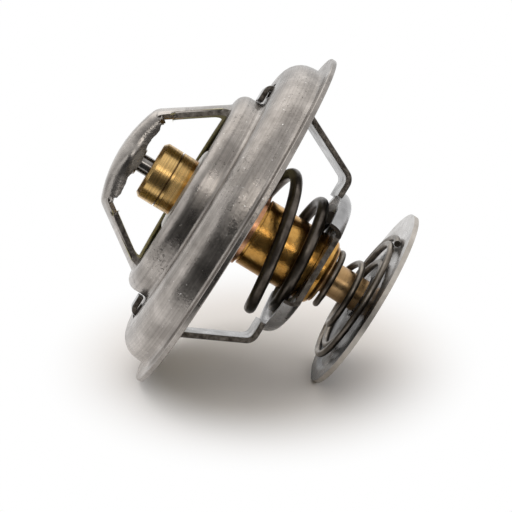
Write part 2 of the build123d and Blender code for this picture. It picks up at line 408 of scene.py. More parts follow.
def along(values: Sequence[float], share: float) -> float:
    """Reads a smooth curve through evenly spaced values.

    Args:
        values: the values that the curve passes through.
        share: how far along it to read, from 0 to 1.

    Returns:
        The value there.
    """
    last = len(values) - 1
    place = share * last
    index = min(int(place), last - 1)
    rest = place - index
    before, start, end, after = (values[min(max(index + step, 0), last)] for step in (-1, 0, 1, 2))
    slope_in, slope_out = (end - before) / 2, (after - start) / 2
    turn_in = 3 * (end - start) - 2 * slope_in - slope_out
    turn_out = slope_in + slope_out - 2 * (end - start)
    return start + rest * (slope_in + rest * (turn_in + rest * turn_out))


def ripple(place: Vector, scale: float) -> float:
    """Smooth noise between about -1 and 1 at a place, with features of the given size."""
    return noise.noise(place / scale)


# Finishes

class Graph:
    """A node tree that grows by one node with each call."""

    def __init__(self, tree: bpy.types.NodeTree) -> None:
        """Takes a tree and empties it."""
        self.tree = tree
        tree.nodes.clear()

    def add(self, kind: str, inputs: dict[str | int, object] | None = None,
            **settings: object) -> bpy.types.Node:
        """Adds a node.

        Args:
            kind: the node's type.
            inputs: a constant or another node's output for each input, by name or number.
            settings: properties of the node itself.

        Returns:
            The node.
        """
        node = self.tree.nodes.new(kind)
        for name, value in settings.items():
            setattr(node, name, value)
        for key, value in (inputs or {}).items():
            if isinstance(value, Socket):
                self.tree.links.new(value, node.inputs[key])
            else:
                node.inputs[key].default_value = value
        return node

    def join(self, how: str, first: Socket, second: Socket | float) -> Socket:
        """Joins two values with one operation."""
        return self.add("ShaderNodeMath", {0: first, 1: second}, operation=how).outputs[0]

    def clouds(self, place: Socket, size: float, detail: float, harshness: float) -> Socket:
        """Cloud noise with features of a size in millimetres."""
        inputs = {"Vector": place, "Scale": 1 / (size * MM), "Detail": detail, "Roughness": harshness}
        return self.add("ShaderNodeTexNoise", inputs).outputs["Fac"]

    def span(self, value: Socket, ends: Point2, onto: Point2 = (0.0, 1.0), smooth: bool = False) -> Socket:
        """Maps a value between two ends onto two other values, and no further.

        Args:
            value: what to map.
            ends: where it starts and ends.
            onto: what it becomes there.
            smooth: True eases it at both ends.

        Returns:
            The mapped value.
        """
        inputs = {"Value": value, "From Min": ends[0], "From Max": ends[1],
                  "To Min": onto[0], "To Max": onto[1]}
        how = "SMOOTHSTEP" if smooth else "LINEAR"
        return self.add("ShaderNodeMapRange", inputs, interpolation_type=how).outputs["Result"]

    def mix(self, colour: Socket, other: Socket | Row, share: Socket | float, how: str = "MIX") -> Socket:
        """Mixes two colours by a share."""
        inputs = {"A": colour, "B": other, "Factor": share}
        return self.add("ShaderNodeMix", inputs, data_type="RGBA", blend_type=how).outputs["Result"]


@dataclass(frozen=True)
class Finish:
    """A surface with patches of two colours, specks, fine turned lines and a slight relief.

    Sizes are in millimetres. The painted shade darkens the colour along X: it holds two values of X and
    the share of the colour that is left at the first of them; at the second all of it is left.
    """

    name: str
    colour: Colour
    second: Colour
    metallic: float = 1.0
    rough: float = 0.35
    rough_spread: float = 0.12
    patch_size: float = 6.0
    speck_size: float = 0.35
    speck_share: float = 0.0
    speck_colour: Colour = (0.05, 0.045, 0.04)
    speck_depth: float = -0.02
    grain_size: float = 0.0
    grain_colour: Colour = (0.92, 0.90, 0.87)
    grain_height: float = 0.03
    ring_pitch: float = 0.0
    ring_depth: float = 0.0
    ring_shade: Point2 = (0.85, 1.10)
    painted_shade: Row = ()
    relief_size: float = 0.6
    relief: float = 0.0

    def material(self) -> Material:
        """Builds the procedural material, once.

        Returns:
            The material of this name.
        """
        found = bpy.data.materials.get(self.name)
        if found:
            return found
        made = bpy.data.materials.new(self.name)
        made.use_nodes = True
        self._wire(Graph(made.node_tree))
        return made

    def _wire(self, graph: Graph) -> None:
        """Lays out colour, roughness and relief on Object coordinates.

        Args:
            graph: the material's empty node tree.
        """
        place = graph.add("ShaderNodeTexCoord").outputs["Object"]
        split = graph.add("ShaderNodeSeparateXYZ", {0: place})
        tint = graph.add("ShaderNodeValToRGB", {"Fac": graph.clouds(place, self.patch_size, 5.0, 0.62)})
        for stop, at, shade in zip(tint.color_ramp.elements, (0.36, 0.66), (self.colour, self.second)):
            stop.position, stop.color = at, (*shade, 1)
        colour = tint.outputs["Color"]
        rough = graph.span(graph.clouds(place, self.patch_size * 0.45, 8.0, 0.7), (0.3, 0.7),
                           (self.rough - self.rough_spread, self.rough + self.rough_spread))
        heights = []
        if self.relief:
            heights.append((graph.clouds(place, self.relief_size, 4.0, 0.65), self.relief))
        if self.ring_pitch:
            lines = self._rings(graph, split)
            colour = graph.mix(colour, graph.span(lines, (0.25, 0.75), self.ring_shade), 1.0, "MULTIPLY")
            heights.append((lines, self.ring_depth))
        # Painted shade: the colour is darkened along X between the two values, standing in for shade and dark
        # reflections.
        if self.painted_shade:
            start, end, share = self.painted_shade
            shade = graph.span(split.outputs["X"], (start * MM, end * MM), (share, 1.0), smooth=True)
            colour = graph.mix(colour, shade, 1.0, "MULTIPLY")
        if self.speck_share:
            specks = self._specks(graph, place)
            colour = graph.mix(colour, (*self.speck_colour, 1), specks)
            heights.append((specks, self.speck_depth))
        if self.grain_size:
            grains = graph.span(graph.clouds(place, self.grain_size, 2.0, 0.6), (0.70, 0.76))
            colour = graph.mix(colour, (*self.grain_colour, 1), grains)
            heights.append((grains, self.grain_height))
        inputs = {"Base Color": colour, "Metallic": self.metallic, "Roughness": rough}
        if heights:
            inputs["Normal"] = self._bump(graph, heights)
        shader = graph.add("ShaderNodeBsdfPrincipled", inputs)
        graph.add("ShaderNodeOutputMaterial", {"Surface": shader.outputs["BSDF"]})

    def _rings(self, graph: Graph, split: bpy.types.Node) -> Socket:
        """Fine lines that run round the axis.

        Args:
            graph: the material's node tree.
            split: the node that gives each place's X, Y and Z.

        Returns:
            Their height, between 0 and 1.
        """
        flat = graph.add("ShaderNodeCombineXYZ", {name: split.outputs[name] for name in "XY"})
        radius = graph.add("ShaderNodeVectorMath", {0: flat.outputs[0]}, operation="LENGTH")
        both = graph.add("ShaderNodeCombineXYZ", {"X": radius.outputs["Value"], "Z": split.outputs["Z"]})
        return graph.clouds(both.outputs[0], self.ring_pitch, 3.0, 0.75)

    def _specks(self, graph: Graph, place: Socket) -> Socket:
        """Small specks that keep to some regions.

        Args:
            graph: the material's node tree.
            place: the Object coordinates.

        Returns:
            1 in a speck and 0 beside it.
        """
        fine = graph.clouds(place, self.speck_size, 3.0, 0.8)
        wide = graph.join("MULTIPLY", graph.clouds(place, self.patch_size * 1.6, 2.0, 0.5), 0.35)
        return graph.span(graph.join("ADD", wide, fine), (0.98 - self.speck_share, 1.06 - self.speck_share))

    def _bump(self, graph: Graph, heights: Sequence[tuple[Socket, float]]) -> Socket:
        """Makes one relief of several heights.

        Args:
            graph: the material's node tree.
            heights: each height with the depth in millimetres that it stands for.

        Returns:
            The normal of the surface.
        """
        total = None
        for height, depth in heights:
            scaled = graph.join("MULTIPLY", height, depth)
            total = graph.join("ADD", total, scaled) if total is not None else scaled
        inputs = {"Strength": 1.0, "Distance": MM, "Height": total}
        return graph.add("ShaderNodeBump", inputs).outputs["Normal"]


# The shell's colour is painted darker towards +X, down to 0.70 of it: painted shade on that side of the
# shoulder.
SHELL = Finish("tumbled_steel", (0.295, 0.268, 0.245), (0.49, 0.45, 0.417), rough=0.31, rough_spread=0.10,
               patch_size=6, speck_size=0.42, speck_share=0.15, ring_pitch=0.42, ring_depth=0.012,
               ring_shade=(0.62, 1.25), grain_size=0.55, relief_size=0.7, relief=0.05,
               painted_shade=(26.0, -2.0, 0.70))
CROWN = Finish("pressed_crown", (0.28, 0.258, 0.238), (0.48, 0.447, 0.415), rough=0.28, rough_spread=0.08,
               patch_size=5, speck_size=0.42, speck_share=0.10, relief_size=2.2, relief=0.10)
INNER = Finish("stained_steel", (0.33, 0.30, 0.14), (0.45, 0.40, 0.24), rough=0.45, patch_size=4,
               relief_size=0.6, relief=0.02)
# Sheared edges: a rough cut surface, with the colour painted near black as shade on the edge faces.
SHEARED_AND_SHADE = Finish("sheared_edge_and_shade", (0.05, 0.042, 0.035), (0.20, 0.178, 0.155), rough=0.42, patch_size=1.1,
                 relief_size=0.4, relief=0.10, speck_size=0.4, speck_share=0.2)
STRIP = Finish("bracket_strip", (0.28, 0.278, 0.28), (0.46, 0.457, 0.46), rough=0.30, patch_size=5,
               speck_size=0.4, speck_share=0.06, relief_size=0.8, relief=0.02)
COIL = Finish("spring_wire", (0.06, 0.05, 0.042), (0.14, 0.12, 0.102), rough=0.34, rough_spread=0.08,
              patch_size=3, relief_size=0.5, relief=0.02, speck_size=0.35, speck_share=0.04,
              speck_colour=(0.32, 0.29, 0.26))
LIGHT_COIL = Finish("light_wire", (0.13, 0.113, 0.096), (0.26, 0.23, 0.195), rough=0.36, rough_spread=0.08,
                    patch_size=3, relief_size=0.5, relief=0.02, speck_size=0.35, speck_share=0.04)
GUIDE = Finish("turned_brass", (0.64, 0.40, 0.145), (0.77, 0.52, 0.215), rough=0.27, rough_spread=0.04,
               patch_size=6, ring_pitch=0.36, ring_depth=0.035, ring_shade=(0.40, 1.42), speck_size=0.4,
               speck_share=0.03)
# Painted shade for the guide's groove: dark brown where the groove lies in shadow.
GROOVE_SHADE = Finish("groove_painted_shade", (0.13, 0.07, 0.025), (0.24, 0.135, 0.05), rough=0.42, patch_size=1.5)
CASE = Finish("polished_brass", (0.44, 0.215, 0.045), (0.66, 0.38, 0.11), rough=0.20, rough_spread=0.08,
              patch_size=2.2, relief_size=0.6, relief=0.04, speck_size=0.45, speck_share=0.10,
              speck_colour=(0.12, 0.06, 0.02))
STEM = Finish("dull_brass", (0.40, 0.245, 0.11), (0.52, 0.34, 0.17), rough=0.34, patch_size=3,
              ring_pitch=0.3, ring_depth=0.01)
BAND = Finish("worn_copper", (0.56, 0.26, 0.14), (0.66, 0.36, 0.20), rough=0.30, patch_size=2,
              relief_size=0.5, relief=0.02)
PIN = Finish("ground_steel", (0.20, 0.18, 0.17), (0.30, 0.28, 0.26), rough=0.18, rough_spread=0.04,
             patch_size=4, ring_pitch=0.3, ring_depth=0.002)
# The disc's colour is painted darker towards -X, down to 0.06 of it: painted shade and a painted dark
# reflection on that side.
DISC = Finish("pressed_disc", (0.50, 0.485, 0.47), (0.62, 0.60, 0.585), rough=0.30, patch_size=7,
              speck_size=0.55, speck_share=0.10, relief_size=0.8, relief=0.02, painted_shade=(-9.0, 13.0, 0.06))
DISC_EDGE = Finish("disc_edge", (0.40, 0.368, 0.33), (0.54, 0.50, 0.455), rough=0.42, patch_size=3,
                   relief_size=0.5, relief=0.03)
PLATE = Finish("plate_steel", (0.48, 0.43, 0.37), (0.60, 0.56, 0.50), rough=0.32, patch_size=4,
               relief_size=0.6, relief=0.02)
RUBBER = Finish("black_rubber", (0.012, 0.012, 0.012), (0.02, 0.02, 0.02), metallic=0.0, rough=0.62,
                patch_size=2, relief_size=0.4, relief=0.02)
WIPER = Finish("seal_plastic", (0.55, 0.53, 0.47), (0.62, 0.60, 0.55), metallic=0.0, rough=0.5,
               patch_size=2, relief_size=0.4, relief=0.01)
WAX = Finish("wax_filler", (0.50, 0.42, 0.24), (0.60, 0.52, 0.32), metallic=0.0, rough=0.5,
             patch_size=2, relief_size=0.5, relief=0.02)


def dress(piece: Object, finish: Finish, *extras: tuple[Finish, Test]) -> Object:
    """Gives a piece its finish, and other finishes to the faces that pass a test.

    Faces that a sheared tool has left keep the sheared-edge finish, which is partly painted shade.

    Args:
        piece: the object to dress.
        finish: the finish of the whole.
        extras: pairs of another finish and a test on a face's centre in millimetres and its normal.

    Returns:
        The same object.
    """
    made = [finish.material(), *(extra.material() for extra, _ in extras), SHEARED_AND_SHADE.material()]
    marks = [bool(m) and m.name == SHEARED_AND_SHADE.name for m in piece.data.materials]
    torn = {face.index for face in piece.data.polygons if any(marks) and marks[face.material_index]}
    piece.data.materials.clear()
    for material in made:
        piece.data.materials.append(material)
    for face in piece.data.polygons:
        face.material_index = 0
        for index, (_, test) in enumerate(extras, start=1):
            if test(face.center / MM, face.normal):
                face.material_index = index
        if face.index in torn:
            face.material_index = len(made) - 1
    return piece


def sheared(tool: Object) -> Object:
    """Marks a cutting tool, so that what it cuts gets the sheared-edge finish: a rough cut surface, painted
    near black as shade.
    """
    tool.data.materials.append(SHEARED_AND_SHADE.material())
    return tool


def fit_out(piece: Object, body: str, slot: str, *nodes: str) -> Object:
    """Ties a piece to its body and hides the CAD nodes it stands for.

    Args:
        piece: the finished piece.
        body: the CAD body it rides on.
        slot: the record's material slot; not used.
        nodes: the CAD nodes that it replaces.

    Returns:
        The same object.
    """
    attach(piece, body)
    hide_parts(*nodes)
    LOG.info("%s: %d faces, on %s", piece.name, len(piece.data.polygons), body)
    return piece


# Sub-assemblies

@dataclass
class Housing:
    """The pressing: flange, shoulder, collar, arms and the folded crown with its socket."""

    sheet: float = 0.95
    flange: float = 33.1
    rim_round: float = 0.22
    foot: float = 30.1
    shoulder: float = 29.6
    shoulder_height: float = 7.3
    shoulder_round: float = 4.4
    shelf_fall: float = 0.6
    collar: float = 19.8
    collar_height: float = 11.4
    collar_round: float = 2.15
    corner: float = 0.8
    cone_foot: float = 17.2
    bend: float = 9.5
    bend_height: float = 22.5
    bend_round: float = 2.6
    top: float = 24.4
    arm_half: float = 5.9
    arm_round: float = 0.45
    arm_round_start: float = 0.9
    arm_cut: float = 19.6
    window_round: float = 1.8
    slot_inner: float = 21.4
    slot_outer: float = 24.1
    slot_half: float = 3.5
    slot_low: float = 5.0
    crown_start: float = 18.2
    crown_half: float = 4.7
    crown_bottom: float = 20.6
    crown_skin: float = 0.02
    side_start: float = 10.4
    edge_sink: float = 0.3
    edge_start: float = 0.91
    arch_steps: int = 10
    arch_round: float = 4.0
    fold_at: float = 10.3
    fold_length: float = 2.1
    fold_round: float = 2.4
    fold_depth: float = 3.6
    fold_rise: float = 0.4
    fold_rise_length: float = 9.0
    fold_end: float = 7.0
    fold_end_length: float = 2.0
    fold_end_rise: float = 0.7
    fold_lean: float = 0.3
    dome: float = 0.12
    lobe: float = 0.75
    lobe_length: float = 2.5
    swell: float = 0.7
    swell_start: float = 0.3
    swell_length: float = 2.0
    closing: float = 0.25
    closing_start: float = 2.6
    closing_end: float = 2.2
    ripples: tuple[Point3, ...] = ((0.16, 3.0, 0.9), (0.1, 7.0, 0.35))
    socket_outer: float = 2.6
    socket_bore: float = 1.73
    socket_bottom: float = 20.0
    socket_rounds: Row = (0.2, 0.3, 0.6, 0.0)
    inner_start: float = 2.0

    def cone_at(self, height: float) -> float:
        """Outside radius of the conical arms at one height."""
        share = (height - self.collar_height) / (self.bend_height - self.collar_height)
        return self.cone_foot + (self.bend - self.cone_foot) * share

    def half_at(self, height: float) -> float:
        """Half width of an arm at one height."""
        share = (height - self.collar_height) / (self.crown_bottom - self.collar_height)
        return self.arm_half + (self.crown_half - self.arm_half) * min(max(share, 0.0), 1.0)

    def shell(self) -> Object:
        """Turns the drawn shell with the lower parts of both arms, and cuts its windows and slots.

        Returns:
            The finished mesh.
        """
        corners = [
            (self.flange, self.sheet), (self.foot, self.sheet), (self.shoulder, self.shoulder_height),
            (self.collar, self.shoulder_height - self.shelf_fall), (self.collar, self.collar_height),
            (self.cone_foot, self.collar_height), (self.cone_at(self.arm_cut), self.arm_cut),
        ]
        rounds = [self.corner, self.shoulder_round, self.corner, self.collar_round, self.corner]
        piece = settle(turn(sheet_loop(rounded(corners, rounds), self.sheet)), "housing_shell")
        soften(piece, self.rim_round)
        for side in (1, -1):
            cut(piece, self.window_tool(side))
        bevel_where(piece, self.on_arm_edge, self.arm_round, 3)
        for side in (1, -1):
            cut(piece, sheared(block((side * self.slot_inner, -self.slot_half, self.slot_low),
                                     (side * self.slot_outer, self.slot_half, self.collar_height))))
        return settle(piece, "housing_shell", 28)

    def on_arm_edge(self, ends: Sequence[Vector], normals: Sequence[Vector]) -> bool:
        """Tells whether an edge is an outer long edge of an arm.

        Args:
            ends: its two ends in millimetres.
            normals: the normals of the faces beside it, of which one is sheared and one the outside.

        Returns:
            True for such an edge.
        """
        if min(p.z for p in ends) < self.collar_height + self.arm_round_start or len(normals) != 2:
            return False
        outside, torn = sorted(normals, key=lambda normal: abs(normal.y))
        outward_part = outside.dot((ends[0] + ends[1]) / 2)
        return abs(torn.y) > 0.85 and abs(outside.y) < 0.7 and outward_part > 1.0

    def on_window_foot(self, ends: Sequence[Vector], normals: Sequence[Vector]) -> bool:
        """Tells whether an edge of a window's tool is its lower inner one."""
        return all(p.z < self.collar_height + NEAR and p.y < self.arm_half + NEAR for p in ends)

    def window_tool(self, side: int) -> Object:
        """Makes the body that cuts one window: a box with a slanted side and a rounded foot.

        Args:
            side: 1 for the window on the Y side, -1 for the other.

        Returns:
            The tool, marked as one that shears.
        """
        reach = self.flange
        tool = block((-reach, self.arm_half, self.collar_height), (reach, reach, self.bend_height))
        for vertex in tool.data.vertices:
            if vertex.co.y < reach * MM / 2 and vertex.co.z > self.crown_bottom * MM:
                vertex.co.y = self.half_at(self.crown_bottom) * MM
        bevel_where(tool, self.on_window_foot, self.window_round, 8)
        if side < 0:
            for vertex in tool.data.vertices:
                vertex.co.y = -vertex.co.y
            outward(tool)
        return sheared(tool)

    def crown_path(self, count: int = 150) -> list[tuple[Vector, Vector]]:
        """Side view of the crown's outer face from one arm over the arch to the other.

        Args:
            count: how many places to give.

        Returns:
            Places in the XZ plane, each with its outward normal.
        """
        rise = self.top - self.bend_height
        arch = (self.bend ** 2 + rise ** 2) / (2 * rise)
        line = [(-self.cone_at(self.crown_start), self.crown_start), (-self.bend, self.bend_height)]
        for step in range(1, self.arch_steps):
            x = -self.bend + 2 * self.bend * step / self.arch_steps
            line.append((x, self.top - arch + math.sqrt(arch ** 2 - x ** 2)))
        line += [(self.bend, self.bend_height), (self.cone_at(self.crown_start), self.crown_start)]
        rounds = [self.bend_round, *[self.arch_round] * (self.arch_steps - 1), self.bend_round]
        smooth = rounded(line, rounds, 8)
        runs = [0.0]
        for a, b in zip(smooth, smooth[1:]):
            runs.append(runs[-1] + math.dist(a, b))
        path, place = [], 0
        for index in range(count):
            at = runs[-1] * index / (count - 1)
            while place < len(runs) - 2 and runs[place + 1] < at:
                place += 1
            share = (at - runs[place]) / max(runs[place + 1] - runs[place], 1e-9)
            path.append(Vector(smooth[place]).lerp(Vector(smooth[place + 1]), min(share, 1.0)))
        result = []
        for index, here in enumerate(path):
            run = (path[min(index + 2, count - 1)] - path[max(index - 2, 0)]).normalized()
            result.append((Vector((here.x, 0, here.y)), Vector((-run.y, 0, run.x))))
        return result

    def crown_row(self, here: Vector, normal: Vector, steps: int = 30) -> list[Vector]:
        """One row of the crown across the bridge: part of a cone on the arms, a folded strap on top.

        Args:
            here: the middle of the row.
            normal: the outward normal there.
            steps: chords across half the row.

        Returns:
            The places of the row.
        """
        radius = abs(here.x)
        fold = ease((self.fold_at - radius) / self.fold_length)
        bump = math.exp(-(here.x / self.lobe_length) ** 2)
        ragged = sum(rise * ripple(Vector((here.x, shift, 0)), size) for rise, shift, size in self.ripples)
        depth = self.fold_depth - self.fold_rise * ease(radius / self.fold_rise_length)
        depth -= self.fold_end_rise * ease((radius - self.fold_end) / self.fold_end_length)
        depth += ragged * (1 - bump) + self.lobe * bump
        flat = self.crown_half - self.fold_round
        arc = math.pi / 2 * self.fold_round
        row = []
        for step in range(-steps, steps + 1):
            share = abs(step) / steps
            across = 1 if step >= 0 else -1
            y_arm = share * (self.half_at(here.z) + self.crown_skin)
            x_arm = math.copysign(math.sqrt(max(radius ** 2 - y_arm ** 2, 0.0)), here.x)
            skin = self.crown_skin - self.edge_sink * ease((share - self.edge_start) / (1 - self.edge_start))
            on_arm = Vector((x_arm, across * y_arm, here.z)) + normal * skin
            reach = share * (flat + arc + depth - self.fold_round)
            if reach < flat:
                y, drop = reach, self.dome * (reach / flat) ** 2
            elif reach < flat + arc:
                angle = (reach - flat) / self.fold_round
                y = flat + self.fold_round * math.sin(angle)
                drop = self.dome + self.fold_round * (1 - math.cos(angle))
            else:
                past = reach - flat - arc
                y, drop = self.crown_half - self.fold_lean * past, self.dome + self.fold_round + past
            y += bump * self.swell * ease((drop - self.swell_start) / self.swell_length)
            closed = ease((drop - self.closing_start) / (depth - self.closing_end))
            y -= bump * (y - self.socket_outer) * closed * self.closing
            on_crown = here + Vector((0, across * y, 0)) - normal * drop
            row.append(on_arm.lerp(on_crown, fold))
        return row

    def crown(self) -> Object:
        """Bends the strap of the crown and gives it its gauge.

        Returns:
            The finished mesh.
        """
        piece = patch([self.crown_row(here, normal) for here, normal in self.crown_path()])
        outward(piece)
        peak = Vector((0, 0, self.top))
        if min(piece.data.polygons, key=lambda face: (face.center / MM - peak).length).normal.z < 0:
            edit(piece)
            bpy.ops.mesh.flip_normals()
            bpy.ops.object.mode_set(mode="OBJECT")
        modify(piece, "SOLIDIFY", thickness=(self.sheet + CLEAR) * MM, offset=-1.0, use_even_offset=False)
        return settle(piece, "housing_crown", 40)

    def socket(self) -> Object:
        """Turns the socket under the crown that holds the pin.

        Returns:
            The finished mesh.
        """
        root, low = self.top - self.sheet * 1.5, self.socket_bottom
        section = [(self.socket_bore, root), (self.socket_bore, low), (self.socket_outer - 0.15, low),
                   (self.socket_outer, low + 0.5), (self.socket_outer + 0.3, root), (self.socket_bore, root)]
        return settle(turn(rounded(section, self.socket_rounds), steps=96), "housing_socket")

    def inside(self, centre: Vector, normal: Vector) -> bool:
        """Tells whether a face above the flange looks at the axis or down."""
        radial = Vector((centre.x, centre.y, 0)).normalized()
        return centre.z > self.inner_start and (normal.dot(radial) < -0.2 or normal.z < -0.3)

    def on_crown_side(self, centre: Vector, normal: Vector) -> bool:
        """Tells whether a face of the crown is a sheared side of an arm."""
        return abs(normal.y) > 0.9 and abs(centre.x) > self.side_start

    def build(self) -> None:
        """Builds, dresses and ties the pressing."""
        shell = dress(self.shell(), SHELL, (INNER, self.inside))
        fit_out(shell, "housing", "shell_steel", "housing")
        crown = dress(self.crown(), CROWN, (SHEARED_AND_SHADE, self.on_crown_side))
        fit_out(crown, "housing", "shell_steel", "housing")
        fit_out(dress(self.socket(), CROWN), "housing", "shell_steel", "housing")


@dataclass
class Pin:
    """The hardened pin between the crown and the wax element."""

    radius: float = 1.7
    top: float = 23.42
    tip: float = -8.0
    chamfer: float = 0.42

    def build(self) -> None:
        """Turns the pin."""
        section = [(self.radius - self.chamfer, self.tip), (self.radius, self.tip + self.chamfer),
                   (self.radius, self.top)]
        piece = settle(turn(section, solid=True, steps=96), "pin_shaft")
        fit_out(dress(piece, PIN), "housing", "pin_steel", "actuating_pin")


@dataclass
class Bracket:
    """The strip that carries the spring: two hooks, two arms and a pan with flat sides."""

    sheet: float = 1.0
    half: float = 5.5
    hook_half: float = 3.0
    hook_top: float = 8.25
    hook_tip: float = 20.1
    hook_round: float = 1.5
    hook_start: float = 1.1
    hook_taper: float = 0.5
    end_start: float = 6.0
    outer: float = 23.6
    waist: float = 0.6
    waist_round: float = 3.0
    elbow: float = 16.9
    elbow_height: float = -13.3
    elbow_round: float = 2.4
    chord: float = 0.45
    pan: float = 14.2
    pan_bottom: float = -16.1
    pan_round: float = 2.6
    pan_hole: float = 6.85
    pan_rim: float = -13.1
    flat: float = 9.6
    flat_cut: Point2 = (-20, 0)
    ear_angle: float = 56.0
    edge_round: float = 0.24

    def arm(self, side: int, steps: int = 8) -> Object:
        """Bends one arm from its hook to the pan.

        Args:
            side: 1 for the arm on the X side, -1 for the other.
            steps: chords across the strip.

        Returns:
            The arm as a closed mesh.
        """
        corners = [(self.hook_tip, self.hook_top), (self.outer, self.hook_top), (self.outer, self.waist),
                   (self.elbow, self.elbow_height), (self.pan - self.sheet - 0.3, self.elbow_height)]
        line = rounded(corners, [self.hook_round, self.waist_round, self.elbow_round], 9)
        fine = []
        for a, b in zip(line, line[1:]):
            count = max(1, round(math.dist(a, b) / self.chord))
            fine += [tuple(Vector(a).lerp(Vector(b), i / count)) for i in range(count)]
        rows = []
        for x, z in [*fine, line[-1]]:
            half = self.half - (self.half - self.hook_half) * ease((z - self.hook_start) / self.hook_taper)
            rows.append([Vector((side * x, half * (2 * i / steps - 1), z)) for i in range(steps + 1)])
        piece = patch(rows)
        modify(piece, "SOLIDIFY", thickness=self.sheet * MM, offset=1.0 * side, use_even_offset=True)
        return soften(piece, self.edge_round)

    def torn(self, centre: Vector, normal: Vector) -> bool:
        """Tells whether a face is a sheared long edge or the end of a hook.

        Args:
            centre: the face's centre in millimetres.
            normal: its normal.

        Returns:
            True for such a face.
        """
        off_edge = min(abs(abs(centre.y) - half) for half in (self.half, self.hook_half))
        at_end = centre.z > self.end_start and normal.x * centre.x < -10
        return at_end or abs(normal.y) > 0.95 and off_edge < NEAR

    def build(self) -> None:
        """Builds the pan, joins the arms to it and dresses the strip."""
        corners = [(self.pan, self.pan_rim), (self.pan, self.pan_bottom), (self.pan_hole, self.pan_bottom)]
        pan = turn(sheet_loop(rounded(corners, [self.pan_round], 10), -self.sheet))
        settle(pan, "spring_bracket_pan")
        angle, reach = math.radians(self.ear_angle), 2 * self.pan
        near, far = self.flat / math.tan(angle), reach * math.cos(angle)
        for side in (1, -1):
            low, high = side * self.flat, side * reach * math.sin(angle)
            outline = [(-near, low), (near, low), (far, high), (-far, high)]
            cut(pan, sheared(prism(outline, *self.flat_cut)))
        for side in (1, -1):
            cut(pan, settle(self.arm(side), "arm"), Boolean.JOIN)
        dress(settle(pan, "bracket_strip", 35), STRIP, (SHEARED_AND_SHADE, self.torn))
        fit_out(pan, "housing", "bracket_steel", "spring_bracket")


@dataclass
class Springs:
    """The two coils, each one wire wound right-handed from the X side."""

    main_wire: float = 2.2
    main_turns: float = 4.0
    main_start: float = 0.0
    main_ends: Point2 = (-13.9, 5.5)
    main_radii: Row = (9.2, 9.4, 10.6, 11.9, 12.3, 12.4, 12.4, 12.4, 12.4)
    main_rise: Row = (0, 0.02, 0.14, 0.206, 0.5, 0.69, 0.86, 0.97, 1)
    bypass_wire: float = 1.2
    bypass_turns: float = 4.1
    bypass_start: float = -22.0
    bypass_ends: Point2 = (-25.9, -19.03)
    bypass_radii: Row = (12.1, 12.7, 10.7, 10.7, 7.0, 7.1, 4.9, 5.2, 4.8)
    bypass_rise: Row = (0, 0.15, 0.08, 0.1, 0.03, 0.34, 0.47, 0.93, 1)
    chords: int = 72

    def coil(self, turns: float, start: float, radii: Row, ends: Point2, rise: Row) -> list[Vector]:
        """Places along a right-handed coil.

        Args:
            turns: how many turns it has.
            start: the angle in degrees where it starts.
            radii: its radius at even steps along the wire.
            ends: the heights of its two ends.
            rise: the share of the way up at even steps along the wire.

        Returns:
            The centre line.
        """
        heights = [ends[0] + (ends[1] - ends[0]) * share for share in rise]
        count = round(turns * self.chords)
        line = []
        for index in range(count + 1):
            share = index / count
            angle = 2 * math.pi * turns * share + math.radians(start)
            radius = along(radii, share)
            line.append(Vector((radius * math.cos(angle), radius * math.sin(angle), along(heights, share))))
        return line

    def build(self) -> None:
        """Winds both springs and gives each its own mesh."""
        line = self.coil(self.main_turns, self.main_start, self.main_radii, self.main_ends, self.main_rise)
        main = dress(settle(wire(line, self.main_wire), "coil_main"), COIL)
        fit_out(main, "housing", "spring_steel", "main_spring")
        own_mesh(main)
        line = self.coil(self.bypass_turns, self.bypass_start, self.bypass_radii, self.bypass_ends,
                         self.bypass_rise)
        small = dress(settle(wire(line, self.bypass_wire, 4), "coil_bypass"), LIGHT_COIL)
        fit_out(small, "valve", "spring_steel", "bypass_spring")
        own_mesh(small)


